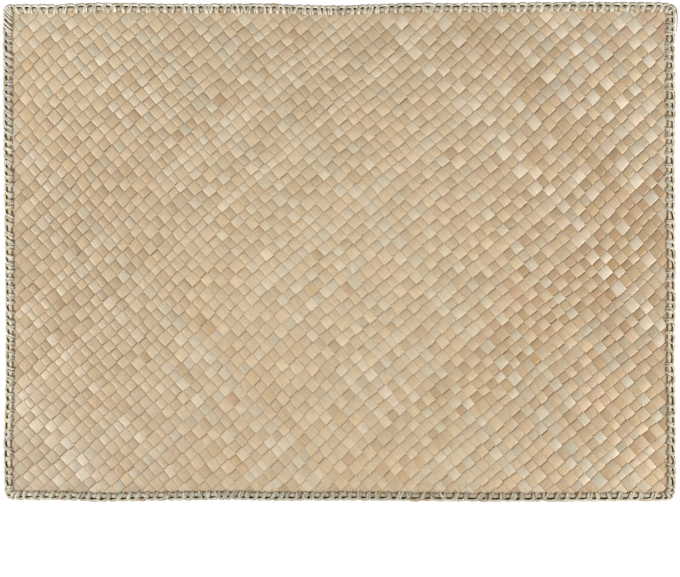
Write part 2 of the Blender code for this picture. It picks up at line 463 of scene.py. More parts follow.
@dataclass
class StripFamily:
    """The strips that run one way through the plait."""

    name: str
    heading_deg: float
    width: float
    width_swing: float
    width_jitter: float
    gap: float
    gap_jitter: float
    over_first: int
    bow: float
    bow_length: float
    bow_start: float
    dive: tuple[float, float]
    rim: float
    lightness: float
    seed: int
    reach: float = 292 * MM
    stays_over: float = 0.0
    over_steps: tuple[float, ...] = (-0.5, -0.44, -0.36, -0.14, 0.14, 0.36, 0.44)
    over_widths: tuple[float, ...] = (0.995, 0.95, 0.975, 1.0, 1.0, 0.975, 0.95)
    under_steps: tuple[float, ...] = (-0.5, -0.36, 0.36)
    under_widths: tuple[float, ...] = (0.995, 1.06, 1.06)
    centres: np.ndarray = field(init=False)
    halves: np.ndarray = field(init=False)
    _marks: np.ndarray = field(init=False)
    _phases: np.ndarray = field(init=False)

    def __post_init__(self) -> None:
        """Lays the strips side by side across the mat."""
        draw = np.random.RandomState(self.seed)
        count = int(2 * self.reach / (self.width + self.gap)) + 2
        turns = np.where(np.arange(count) % 2 == 0, 1.0, -1.0)
        widths = self.width + self.width_swing * turns + self.width_jitter * draw.uniform(-1, 1, count)
        gaps = self.gap + self.gap_jitter * draw.uniform(-1, 1, count)
        left = np.concatenate([[0], np.cumsum(widths + gaps)[:-1]])
        self.centres = left + widths / 2
        self.centres -= (self.centres[0] + self.centres[-1]) / 2
        self.halves = widths / 2
        between = self.centres + widths / 2 + gaps / 2
        self._marks = np.stack([self.centres, between], axis=1).ravel()
        self._phases = np.arange(2 * count) / 2

    @property
    def along(self) -> np.ndarray:
        """The direction in which the strips run."""
        return np.array([math.cos(math.radians(self.heading_deg)), math.sin(math.radians(self.heading_deg))])

    @property
    def across(self) -> np.ndarray:
        """The direction from each strip to the next."""
        return np.array([-self.along[1], self.along[0]])

    def profile(self, over: bool) -> tuple[tuple[float, ...], tuple[float, ...]]:
        """Where a strip's rows lie from a crossing that it passes over or under, and how wide it is there."""
        return (self.over_steps, self.over_widths) if over else (self.under_steps, self.under_widths)

    def place_of(self, phase: np.ndarray) -> np.ndarray:
        """Distance across the mat of a phase, whole at a strip's middle and half way at a gap's."""
        return np.interp(phase, self._phases, self._marks)

    def bowed(self, points: np.ndarray) -> np.ndarray:
        """How far hand plaiting has pushed the strips sideways.

        Args:
            points: Places seen from above.

        Returns:
            The move of each point.
        """
        run = points @ self.along
        push = np.sin(2 * math.pi * run / self.bow_length + self.bow_start)
        push += 0.35 * np.sin(2 * math.pi * run / (0.43 * self.bow_length) + 2.1 * self.bow_start)
        return (self.bow * push)[..., None] * self.across


@dataclass(frozen=True)
class TintedPatch:
    """A tinted part of the mat: browner, cooler or, below 0, fresher leaf; with the grey tint, painted shade
    or, below 0, painted light.
    """

    middle_mm: tuple[float, float]
    reach_mm: tuple[float, float]
    falling: float
    rising: float
    tint: tuple[float, float, float] = AGED

    def share(self, places: np.ndarray) -> np.ndarray:
        """How far places lie in the patch, 1 in its middle and 0 outside."""
        away = (places - np.array(self.middle_mm) * MM) / (np.array(self.reach_mm) * MM)
        return np.exp(-np.sum(away**2, axis=-1))


# The grey patches are painted shade at the middle of the left and right sides and painted light along the
# bottom.
TINTED_PATCHES = (
    TintedPatch((215, -20), (110, 120), 0.15, 1.25),
    TintedPatch((-200, 15), (90, 80), 0.15, 0.35),
    TintedPatch((110, -90), (50, 70), 0.2, 0.5),
    TintedPatch((-205, -150), (90, 70), 1.0, 1.0, COOL),
    TintedPatch((-215, 150), (60, 40), -0.45, -0.35),
    TintedPatch((-205, -10), (110, 100), 1.25, 1.25, PAINTED_LIGHT_AND_SHADE_GREY),
    TintedPatch((215, -30), (90, 110), 1.2, 1.2, PAINTED_LIGHT_AND_SHADE_GREY),
    TintedPatch((0, -175), (260, 50), -0.8, -0.8, PAINTED_LIGHT_AND_SHADE_GREY),
)


@dataclass
class StripShape:
    """One strip's corners, row by row along it, with the tone, shade and grain that each one has."""

    corners: np.ndarray
    tone: np.ndarray
    shade: np.ndarray
    grain: np.ndarray


@dataclass
class Plait:
    """The mat's panel: two families of leaf strips, each over one and under one of the other."""

    edge: StitchedEdge
    falling: StripFamily
    rising: StripFamily
    leaf: float = 0.3 * MM
    middle: float = 0.76 * MM
    wave: float = 0.6 * MM
    rim_middle: float = 1.1 * MM
    rim_wave: float = 0.25 * MM
    rim_start: float = 6.5 * MM
    rim_end: float = 14 * MM
    cut_inset: float = 1.7 * MM
    crown: float = 0.12 * MM
    rounding: float = 0.36 * MM
    flatness: float = 1.9
    flatness_below: float = 3.1
    wander: float = 0.13 * MM
    tile_lift: float = 0.06 * MM
    tile_tilt: float = 0.11 * MM
    tile_pitch: float = 0.1 * MM
    columns: tuple[float, ...] = (-1.0, -0.89, -0.64, 0.64, 0.89, 1.0)
    tone_spread: float = 0.75
    sway_lengths: tuple[float, float] = (63 * MM, 29 * MM)
    swell_length: float = 47 * MM
    swell: float = 0.02
    tile_swell: float = 0.05
    drift_length: float = 88 * MM
    light_length: float = 41 * MM
    most_blend: float = 0.7
    aged_from: tuple[float, float] = (0.8, 1.0)
    # Painted shade where the strips dive under the other family, spread from tile to tile, and in the tiles'
    # corners.
    dive_painted_shade: float = 0.85
    tile_painted_shade_spread: float = 0.35
    corner_painted_shade: float = 0.25
    corner_from: tuple[float, float] = (0.3, 0.44)
    rim_column: float = 0.9
    # Near the rim: painted shade and stain beside the core, and nearly black painted shade under the lashing.
    beside_core: float = 0.2
    under_lashing: float = 1.3
    grain_spacing: float = 37 * MM
    mixed_from: tuple[float, float] = (60 * MM, 190 * MM)
    # Painted shade is weaker in the middle of the mat than towards its left and right sides.
    painted_shade_from: tuple[float, float] = (20 * MM, 170 * MM)
    least_painted_shade: float = 0.6
    push: float = 0.14 * MM
    push_waves: int = 10
    push_seed: int = 31
    # Insets where the painted shade under the lashing, and the shade and stain beside the core, fade out.
    gap_painted_shade: tuple[float, float] = (3.2 * MM, 5.2 * MM)
    core_shade_and_stain: tuple[float, float] = (5.7 * MM, 6.9 * MM)
    # The painted dive shade fades out where the strip lies lower than this, so the underside stays unshaded.
    unshaded_below: tuple[float, float] = (-0.88, -0.45)
    shade_below: float = 0.4

    def __post_init__(self) -> None:
        """Prepares the lines that the strips are cut and lifted along."""
        self._from_edge = InsideOf(self.edge.line(0))
        self._from_cut = InsideOf(self.edge.line(self.cut_inset))
        self._to_world = np.linalg.inv(np.stack([self.falling.across, self.rising.across]))
        draw = np.random.RandomState(self.push_seed)
        self._pushes = []
        for angle, turn, start, share in draw.uniform(0, 1, (self.push_waves, 4)):
            turns = (2 * math.pi * angle, 2 * math.pi * turn)
            heading, side = (np.array([math.cos(a), math.sin(a)]) for a in turns)
            self._pushes.append((heading, (24 + 40 * share) * MM, 2 * math.pi * start, side))

    def _world(self, falling_place: np.ndarray, rising_place: np.ndarray) -> np.ndarray:
        """Turns distances across the two families into a place seen from above.

        Args:
            falling_place: Distance across the falling strips.
            rising_place: Distance across the rising strips.

        Returns:
            One X and Y for each pair.
        """
        flat = np.stack([falling_place, rising_place], axis=-1) @ self._to_world.T
        pushed = flat + self.falling.bowed(flat) + self.rising.bowed(flat)
        for heading, length, start, turn in self._pushes:
            wave = np.sin(2 * math.pi * (flat @ heading) / length + start)
            pushed = pushed + (self.push * wave)[..., None] * turn
        return pushed

    def _strip(
        self, own: StripFamily, other: StripFamily, number: int, draw: np.random.RandomState
    ) -> StripShape | None:
        """Shapes one strip.

        Args:
            own: The family it belongs to.
            other: The family that it crosses.
            number: Its number in its own family.
            draw: Source of the strip's unevenness.

        Returns:
            The strip, or nothing where it misses the mat.
        """
        crossings = np.arange(1, len(other.centres) - 1)
        turn = number + own.over_first
        rows = [
            (crossing, crossing + step, width)
            for crossing in crossings
            for step, width in zip(*own.profile((crossing + turn) % 2 == 0))
        ]
        crossing, phase, pinch = (np.array(column) for column in zip(*rows))
        side = np.array(self.columns)
        tile = draw.uniform(-1, 1, (len(other.centres), 4))
        waves = draw.uniform(0, 2 * math.pi, 6)
        tone_pick = draw.uniform()
        shift = draw.uniform(-1, 1)

        run = other.place_of(phase)
        lift = np.cos(math.pi * phase) * (1 if turn % 2 == 0 else -1) + own.stays_over
        flatness = np.where(lift > 0, self.flatness, self.flatness_below)
        over = np.tanh(flatness * lift) / np.tanh(flatness)
        on_own = 1 - (2 * np.abs(phase - crossing)) ** 4
        sway = self.wander * (
            np.sin(2 * math.pi * run / self.sway_lengths[0] + waves[0])
            + 0.5 * np.sin(2 * math.pi * run / self.sway_lengths[1] + waves[1])
            + on_own * tile[crossing, 3]
        )
        swell = 1 + self.swell * np.sin(2 * math.pi * run / self.swell_length + waves[2])
        swell += self.tile_swell * on_own * tile[crossing, 2]
        half = own.halves[number] * (pinch * swell)[:, None]
        across = own.centres[number] + sway[:, None] + side[None, :] * half
        lengthwise = np.repeat(run[:, None], len(side), axis=1)
        pair = (across, lengthwise) if own is self.falling else (lengthwise, across)
        places = self._world(*pair)

        inside = self._from_cut.distance(places)
        if not (inside > 0).any():
            return None
        first, last = np.flatnonzero((inside > 0).any(axis=1))[[0, -1]]
        keep = slice(max(first - 1, 0), last + 2)
        places, inside, run, phase, over, crossing = (
            values[keep] for values in (places, inside, run, phase, over, crossing)
        )
        places, run_cut = self._cut(places, inside, run)

        depth = self._from_edge.distance(places)
        flat_share = smooth_step(depth, self.rim_start, self.rim_end)
        middle = self.rim_middle + (self.middle - self.rim_middle) * flat_share
        wave = self.rim_wave + (self.wave - self.rim_wave) * flat_share
        bulge = np.clip(over, 0, 1) ** 2
        on_tile = np.cos(math.pi * (phase - crossing)) ** 2 * bulge
        own_tile = tile[crossing]
        height = middle + wave * over[:, None]
        droop = self.crown * side**2 + self.rounding * side**8
        height -= droop[None, :] * bulge[:, None] * (0.35 + 0.65 * flat_share)
        tilt = self.tile_tilt * own_tile[:, 1:2] * side[None, :]
        pitch = (self.tile_pitch * own_tile[:, 2] * (phase - crossing) * 2)[:, None]
        height += on_tile[:, None] * flat_share * (self.tile_lift * own_tile[:, :1] + tilt + pitch)

        tone = self._tone(own, tone_pick, shift, own_tile, run, waves, places.mean(axis=1))
        # Painted shade: weaker in the middle of the mat, where strips dive under, along their edges, and near
        # the rim.
        painted_shade_scale = self.least_painted_shade + (1 - self.least_painted_shade) * smooth_step(np.abs(places[..., 0]), *self.painted_shade_from)
        joints = self._joint_shade(own, over, np.abs(phase - crossing), side, own_tile)
        shade = painted_shade_scale * joints + self._rim_shade_and_stain(depth)
        beside = across[keep] - own.centres[number] + number * self.grain_spacing
        grain = np.stack([beside, run_cut], axis=-1)
        corners = np.concatenate([places, height[..., None]], axis=-1)
        return StripShape(corners, np.repeat(tone[:, None, :], len(side), axis=1), shade, grain)

    def _cut(self, places: np.ndarray, inside: np.ndarray, run: np.ndarray) -> tuple[np.ndarray, np.ndarray]:
        """Cuts a strip off along the rim, by drawing the corners outside it in to the cut.

        Args:
            places: The strip's corners seen from above, row by row.
            inside: How far each lies inside the cut.
            run: Each row's distance along the strip.

        Returns:
            The corners and their distances along the strip after the cut.
        """
        cut = places.copy()
        run_cut = np.repeat(run[:, None], places.shape[1], axis=1)
        deepest = np.unravel_index(int(np.argmax(inside)), inside.shape)
        for column in range(places.shape[1]):
            depth = inside[:, column]
            within = np.flatnonzero(depth > 0)
            if len(within) == 0:
                nearest = int(np.argmax(depth))
                share = inside[deepest] / (inside[deepest] - depth[nearest])
                cut[:, column] = places[deepest] + (places[nearest, column] - places[deepest]) * share
                run_cut[:, column] = run[deepest[0]] + (run[nearest] - run[deepest[0]]) * share
                continue
            for edge_row, outer_row in ((within[0], within[0] - 1), (within[-1], within[-1] + 1)):
                if not 0 <= outer_row < len(depth):
                    continue
                share = depth[edge_row] / (depth[edge_row] - depth[outer_row])
                step = places[outer_row, column] - places[edge_row, column]
                place = places[edge_row, column] + step * share
                rows = slice(0, edge_row) if outer_row < edge_row else slice(outer_row, len(depth))
                cut[rows, column] = place
                run_cut[rows, column] = run[edge_row] + (run[outer_row] - run[edge_row]) * share
        return cut, run_cut

    def _tone(
        self,
        own: StripFamily,
        pick: float,
        shift: float,
        tile: np.ndarray,
        run: np.ndarray,
        waves: np.ndarray,
        places: np.ndarray,
    ) -> np.ndarray:
        """The leaf's colour along a strip.

        Args:
            own: The strip's family.
            pick: Draw from 0 to 1 that chooses the strip's tone.
            shift: Draw from -1 to 1 that makes the strip lighter or darker.
            tile: Draws of the tile that each row lies in.
            run: Distance of each row along the strip.
            waves: Starts of the slow changes along the strip.
            places: Each row's middle, seen from above.

        Returns:
            One linear colour for each row.
        """
        tones = list(LeafTone)
        limits = np.cumsum([tone.commonness for tone in tones])
        first = int(np.searchsorted(limits, pick * limits[-1]))
        second = (first * 3 + 2) % len(tones)
        drift = 0.5 + 0.5 * np.sin(2 * math.pi * run / self.drift_length + waves[3])
        blend = np.clip(0.65 * drift + 0.35 * tile[:, 3], 0, 1)[:, None] * self.most_blend
        colour = tones[first].colour * (1 - blend) + tones[second].colour * blend
        mixed = smooth_step(places[:, 0], *self.mixed_from)[:, None]
        spread = self.tone_spread * (1 + 0.65 * mixed)
        colour = LeafTone.STRAW.colour * (1 - spread) + colour * spread
        light = own.lightness + 0.04 * shift
        light = light + 0.035 * np.sin(2 * math.pi * run / self.light_length + waves[4])
        light += (0.05 + 0.035 * mixed[:, 0]) * tile[:, 0]
        aged = smooth_step(tile[:, 3], *self.aged_from)
        colour = colour * light[:, None] * (1 - aged[:, None] * (1 - np.array(AGED)))
        for patch in TINTED_PATCHES:
            amount = patch.share(places) * (patch.rising if own is self.rising else patch.falling)
            colour = colour * (1 - amount[:, None] * (1 - np.array(patch.tint)))
        return colour

    def _rim_shade_and_stain(self, depth: np.ndarray) -> np.ndarray:
        """Shade of the leaf near the edge: partly painted shade and partly stain beside the core, and nearly
        black painted shade under the lashing.
        """
        beside = self.beside_core * (1 - smooth_step(depth, *self.core_shade_and_stain))
        return beside + self.under_lashing * (1 - smooth_step(depth, *self.gap_painted_shade))

    def _joint_shade(
        self,
        own: StripFamily,
        over: np.ndarray,
        from_crossing: np.ndarray,
        side: np.ndarray,
        tile: np.ndarray,
    ) -> np.ndarray:
        """Painted shade where the leaf dives under and in its tiles' corners, and along its edges, where it
        is partly painted shade and partly the cut edges' own browning.

        Args:
            own: The strip's family.
            over: How far up each row lies, from -1 to 1.
            from_crossing: How far each row lies from its crossing, to 0.5.
            side: Place of each column across the strip, from -1 to 1.
            tile: Draws of the tile that each row lies in.

        Returns:
            One shade for each corner, from 0 to 1.
        """
        dive = (self.dive_painted_shade + self.tile_painted_shade_spread * tile[:, 1]) * (1 - smooth_step(over, *own.dive))
        dive *= smooth_step(over, *self.unshaded_below)
        rim = own.rim * (1 + 0.5 * tile[:, 0])
        rim += self.corner_painted_shade * smooth_step(from_crossing, *self.corner_from)
        rims = rim[:, None] * (np.abs(side) > self.rim_column)[None, :]
        return np.maximum(dive[:, None], rims)

    def build(
        self, own: StripFamily, other: StripFamily, turn: int, name: str, finish: bpy.types.Material
    ) -> bpy.types.Object:
        """Builds every other strip of a family as one piece.

        Args:
            own: The family.
            other: The family that it crosses.
            turn: 0 for the even strips, 1 for the odd ones.
            name: The piece's name.
            finish: The leaf material.

        Returns:
            The finished piece.
        """
        strips = []
        for number in range(1, len(own.centres) - 1):
            draw = np.random.RandomState(own.seed * 1000 + number)
            shape = self._strip(own, other, number, draw) if number % 2 == turn else None
            if shape is not None:
                strips.append(leaf_grid(shape, f"{name}_{number}"))
        piece = join(strips, name)
        weld()
        thicken(piece, self.leaf)
        lighten_below(piece.data, self.shade_below)
        dress(piece, finish)
        return piece


def lighten_below(mesh: bpy.types.Mesh, share: float) -> None:
    """Takes painted shade off the corners that face down, where the shade laid out for the top does not fit.

    Args:
        mesh: The mesh.
        share: How much of their shade is left.
    """
    normals = np.zeros(len(mesh.vertices) * 3, np.float32)
    mesh.vertices.foreach_get("normal", normals)
    shade = np.zeros(len(mesh.vertices), np.float32)
    shades = mesh.attributes[SHADE_ATTRIBUTE].data
    shades.foreach_get("value", shade)
    shade[normals[2::3] < 0] *= share
    shades.foreach_set("value", shade)


def set_corners(mesh: bpy.types.Mesh, corners: np.ndarray) -> None:
    """Moves a mesh's corners to new places."""
    mesh.vertices.foreach_set("co", np.ascontiguousarray(corners, np.float32).ravel())
    mesh.update()


def set_tones(mesh: bpy.types.Mesh, tone: np.ndarray, shade: np.ndarray) -> None:
    """Stores each corner's leaf colour and its shade, mostly painted shade.

    Args:
        mesh: The mesh.
        tone: One linear colour for each corner.
        shade: One shade for each corner, from 0 to 2.
    """
    colours = mesh.attributes.new(TONE_ATTRIBUTE, "FLOAT_COLOR", "POINT")
    full = np.concatenate([tone, np.ones((len(tone), 1))], axis=1)
    colours.data.foreach_set("color", full.astype(np.float32).ravel())
    shades = mesh.attributes.new(SHADE_ATTRIBUTE, "FLOAT", "POINT")
    shades.data.foreach_set("value", np.clip(shade, 0, 2).astype(np.float32).ravel())


def set_grain(mesh: bpy.types.Mesh, grain: np.ndarray) -> None:
    """Lays the grain map over a mesh, in metres across and along the leaf.

    Args:
        mesh: The mesh.
        grain: One pair for each corner.
    """
    while mesh.uv_layers:
        mesh.uv_layers.remove(mesh.uv_layers[0])
    layer = mesh.uv_layers.new(name=GRAIN_MAP)
    corner_of = np.zeros(len(mesh.loops), np.int32)
    mesh.loops.foreach_get("vertex_index", corner_of)
    layer.uv.foreach_set("vector", grain[corner_of].astype(np.float32).ravel())


def leaf_grid(shape: StripShape, name: str, closed: bool = False) -> bpy.types.Object:
    """Makes a leaf from a flat grid.

    Args:
        shape: The leaf's corners and colours.
        name: The object's name.
        closed: Whether the last row meets the first.

    Returns:
        The leaf, still without its thickness.
    """
    rows, columns = shape.corners.shape[:2]
    steps = rows if closed else rows - 1
    bpy.ops.object.select_all(action="DESELECT")
    bpy.ops.mesh.primitive_grid_add(x_subdivisions=columns - 1, y_subdivisions=steps, size=1)
    leaf = bpy.context.object
    leaf.name = leaf.data.name = name
    flat = corners_of(leaf.data)
    column = np.rint((flat[:, 0] + 0.5) * (columns - 1)).astype(int)
    row = np.rint((flat[:, 1] + 0.5) * steps).astype(int) % rows
    set_corners(leaf.data, shape.corners[row, column])
    set_tones(leaf.data, shape.tone[row, column], shape.shade[row, column])
    set_grain(leaf.data, shape.grain[row, column])
    return leaf


def weld() -> None:
    """Joins corners of the active piece that lie on each other."""
    bpy.ops.object.mode_set(mode="EDIT")
    bpy.ops.mesh.select_all(action="SELECT")
    bpy.ops.mesh.remove_doubles(threshold=WELD_DISTANCE)
    bpy.ops.object.mode_set(mode="OBJECT")


def choose(pieces: list[bpy.types.Object]) -> None:
    """Selects pieces, and makes the first one active.

    Args:
        pieces: The pieces.
    """
    bpy.ops.object.select_all(action="DESELECT")
    for piece in pieces:
        piece.select_set(True)
    bpy.context.view_layer.objects.active = pieces[0]


def join(objects: list[bpy.types.Object], name: str) -> bpy.types.Object:
    """Joins objects into one.

    Args:
        objects: The objects.
        name: The joined object's name.

    Returns:
        The joined object.
    """
    choose(objects)
    if len(objects) > 1:
        bpy.ops.object.join()
    joined = bpy.context.object
    joined.name = name
    joined.data.name = name
    return joined


def thicken(piece: bpy.types.Object, thickness: float) -> None:
    """Gives a sheet its thickness, half to each side.

    Args:
        piece: The sheet.
        thickness: The thickness.
    """
    choose([piece])
    bpy.ops.object.modifier_add(type="SOLIDIFY")
    solid = piece.modifiers[-1]
    solid.thickness = thickness
    solid.offset = 0
    bpy.ops.object.modifier_apply(modifier=solid.name)


def dress(piece: bpy.types.Object, material: bpy.types.Material, angle_deg: float = 50) -> None:
    """Gives a piece its material and smooth shading.

    Args:
        piece: The piece.
        material: Its material.
        angle_deg: Edges sharper than this stay sharp.
    """
    piece.data.materials.clear()
    piece.data.materials.append(material)
    choose([piece])
    bpy.ops.object.shade_smooth_by_angle(angle=math.radians(angle_deg))


@dataclass
class EdgeCore:
    """The flat pale leaf strip that lies round the rim under the bars."""

    edge: StitchedEdge
    outer_inset: float = 2.95 * MM
    inner_inset: float = 5.35 * MM
    height: float = 1.97 * MM
    bulge: float = 0.12 * MM
    crown: float = 0.2 * MM
    leaf: float = 0.34 * MM
    columns: int = 5
    wander: float = 0.12 * MM
    pinch: float = 0.07
    light_spread: float = 0.06
    bar_shade: float = 0.45
    rim_shade: float = 0.25
    aged_tint: tuple[float, float, float] = (0.84, 0.72, 0.6)
    ageing: tuple[tuple[float, float], ...] = (
        (0, 0.35), (0.11, 0), (0.22, 0.05), (0.28, 0.9), (0.35, 0.6), (0.45, 0.7),
        (0.54, 0.4), (0.7, 0.3), (0.78, 0.75), (0.85, 0.4), (1, 0.35),
    )
    steps: int = 6
    seed: int = 21

    def build(self, finish: bpy.types.Material) -> bpy.types.Object:
        """Builds the core.

        Args:
            finish: The leaf material.

        Returns:
            The finished piece.
        """
        draw = np.random.RandomState(self.seed)
        rows = self.edge.stitches * self.steps
        side = np.linspace(-1, 1, self.columns)
        stitch = np.arange(rows) / self.steps
        between = np.sin(math.pi * stitch) ** 2
        bars = np.arange(self.edge.stitches + 1)
        lean = np.interp(stitch, bars, draw.uniform(-1, 1, len(bars)))
        middle = (self.outer_inset + self.inner_inset) / 2 + self.wander * lean
        half = (self.inner_inset - self.outer_inset) / 2 * (1 - self.pinch + self.pinch * between)
        inset = middle[:, None] + half[:, None] * side[None, :]
        places = self.edge.at(np.repeat(stitch[:, None], len(side), axis=1), inset)
        height = self.height + self.bulge * between[:, None] - self.crown * (side**2)[None, :]
        corners = np.concatenate([places, height[..., None]], axis=-1)
        aged = np.interp(stitch / self.edge.stitches, *np.array(self.ageing).T)
        tint = 1 - aged[:, None, None] * (1 - np.array(self.aged_tint))
        leaning = np.repeat(lean[:, None, None], len(side), axis=1)
        tone = CORE_TONE * tint * (1 + self.light_spread * leaning)
        # Painted shade on the core under the bars and along its edges.
        shade = np.repeat((self.bar_shade * (1 - between) ** 2)[:, None], len(side), axis=1)
        shade = shade + self.rim_shade * (np.abs(side) > 0.9)
        chords = np.linalg.norm(np.diff(places[:, self.columns // 2], axis=0), axis=1)
        length = np.concatenate([[0], np.cumsum(chords)])
        grain = np.stack([inset, np.repeat(length[:, None], len(side), axis=1)], axis=-1)
        piece = leaf_grid(StripShape(corners, tone, shade, grain), "core_strip", closed=True)
        weld()
        thicken(piece, self.leaf)
        dress(piece, finish)
        return piece


@dataclass(frozen=True)
class StrandKnot:
    """One point of a strand's route: past its stitch, in from the edge, up, and its two half sizes."""

    past: float
    inset_mm: float
    height_mm: float
    half_width_mm: float
    half_depth_mm: float


@dataclass(frozen=True)
class Strand:
    """A short run of thread, across the rim or along it.

    Every stitch repeats it, or else only some places counted in stitches past one corner of the mat. One
    that gives way is left out where the thick wraps go round that corner.
    """

    name: str
    knots: tuple[StrandKnot, ...]
    wobble: float
    # How much darker the copies are: painted shade on the purl's foot, seen through the gaps, and the loose
    # thread's own dark colour.
    shade: float = 0.0
    across: bool = True
    sides: int = 6
    rings: int = 8
    slant: float = 0.0
    gives_way: bool = False
    corner: tuple[int, int] = (0, 0)
    past_corner: tuple[float, ...] = ()


def knots_of(*rows: tuple[float, ...]) -> tuple[StrandKnot, ...]:
    """One knot for each row of numbers."""
    return tuple(StrandKnot(*row) for row in rows)


PURL_TOP = Strand(
    "purl_top",
    knots=knots_of(
        (-0.20, 2.05, 2.45, 0.40, 0.28), (0.02, 1.50, 2.62, 0.74, 0.48),
        (0.28, 1.12, 2.52, 0.88, 0.58), (0.58, 1.02, 2.32, 0.92, 0.64),
        (0.86, 1.10, 2.10, 0.84, 0.62), (1.14, 1.50, 1.80, 0.56, 0.36),
    ),
    across=False,
    wobble=0.28,
    sides=8,
    rings=9,
)
PURL_FOOT = Strand(
    "purl_foot",
    knots=knots_of(
        (-0.10, 2.20, 0.70, 0.34, 0.34), (0.15, 1.35, 0.72, 0.62, 0.55),
        (0.50, 0.90, 0.85, 0.70, 0.66), (0.85, 1.05, 1.15, 0.66, 0.60),
        (1.10, 1.60, 1.40, 0.40, 0.36),
    ),
    across=False,
    sides=7,
    wobble=0.28,
    # Painted shade on the purl's foot, seen through the gaps beside the core.
    shade=0.5,
    rings=7,
)
PURL_LOOP = Strand(
    "purl_loop",
    knots=knots_of(
        (0.42, 1.30, 2.56, 0.24, 0.24), (0.62, 1.62, 2.70, 0.42, 0.38),
        (0.82, 2.10, 2.70, 0.42, 0.36), (1.00, 2.80, 2.60, 0.30, 0.26),
    ),
    across=False,
    wobble=0.28,
    shade=0.04,
    rings=6,
    gives_way=True,
)
BAR_LEFT = Strand(
    "bar_left",
    knots=knots_of(
        (-0.06, 1.30, 2.34, 0.66, 0.24), (-0.09, 2.50, 2.64, 0.84, 0.20),
        (-0.11, 3.60, 2.60, 0.84, 0.18), (-0.12, 4.60, 2.56, 0.80, 0.18),
        (-0.12, 5.45, 2.26, 0.76, 0.18), (-0.12, 6.10, 1.95, 0.72, 0.18),
        (-0.11, 6.60, 1.30, 0.62, 0.16),
    ),
    wobble=0.22,
    gives_way=True,
)
BAR_RIGHT = Strand(
    "bar_right",
    knots=knots_of(
        (0.08, 1.40, 2.34, 0.58, 0.24), (0.09, 2.60, 2.58, 0.74, 0.20),
        (0.10, 3.70, 2.52, 0.76, 0.18), (0.11, 4.70, 2.48, 0.74, 0.18),
        (0.12, 5.50, 2.20, 0.70, 0.18), (0.13, 6.10, 1.90, 0.64, 0.18),
        (0.12, 6.50, 1.30, 0.52, 0.15),
    ),
    wobble=0.22,
    shade=0.12,
    gives_way=True,
)
BAR_FIBRE = Strand(
    "bar_fibre",
    knots=knots_of(
        (0.16, 1.90, 2.58, 0.20, 0.16), (0.06, 3.00, 2.80, 0.26, 0.14),
        (-0.02, 4.40, 2.74, 0.26, 0.14), (-0.12, 5.80, 2.18, 0.24, 0.14),
        (-0.18, 6.70, 1.40, 0.16, 0.12),
    ),
    wobble=0.7,
    shade=0.3,
    sides=5,
    rings=7,
    gives_way=True,
)
BAR_UNDER = Strand(
    "bar_under",
    knots=knots_of(
        (0.0, 1.70, 0.40, 0.44, 0.26), (0.0, 3.40, 0.28, 0.66, 0.24),
        (0.0, 5.20, 0.30, 0.60, 0.24), (0.0, 6.20, 0.60, 0.40, 0.24),
    ),
    wobble=0.06,
    shade=0.1,
    rings=5,
)
CORNER_WRAP = Strand(
    "corner_wrap",
    knots=knots_of(
        (-0.15, 0.70, 2.36, 0.55, 0.40), (0.0, 1.80, 2.74, 0.66, 0.34),
        (0.0, 3.40, 2.74, 0.66, 0.28), (0.0, 4.90, 2.62, 0.62, 0.26),
        (0.0, 6.00, 2.20, 0.54, 0.22), (0.0, 6.90, 1.40, 0.38, 0.18),
    ),
    wobble=0.12,
    sides=7,
    rings=9,
    slant=0.65,
    corner=(-1, 1),
    past_corner=(-0.55, 0.1, 0.7, 1.4, 2.0, 2.75, 3.4),
)
LOOSE_THREAD = Strand(
    "loose_thread",
    knots=knots_of(
        (1.10, 1.20, 2.80, 0.22, 0.18), (0.45, 0.20, 3.00, 0.32, 0.22),
        (-0.30, -0.35, 2.60, 0.38, 0.22), (-1.30, -0.50, 2.30, 0.36, 0.20),
        (-2.20, -0.50, 2.10, 0.30, 0.18), (-2.80, -0.35, 1.90, 0.20, 0.14),
    ),
    across=False,
    wobble=0.0,
    shade=1.15,
    rings=24,
    corner=(1, 1),
    past_corner=(0.0,),
)
STRANDS = (
    PURL_TOP, PURL_FOOT, PURL_LOOP, BAR_LEFT, BAR_RIGHT, BAR_FIBRE, BAR_UNDER, CORNER_WRAP, LOOSE_THREAD,
)


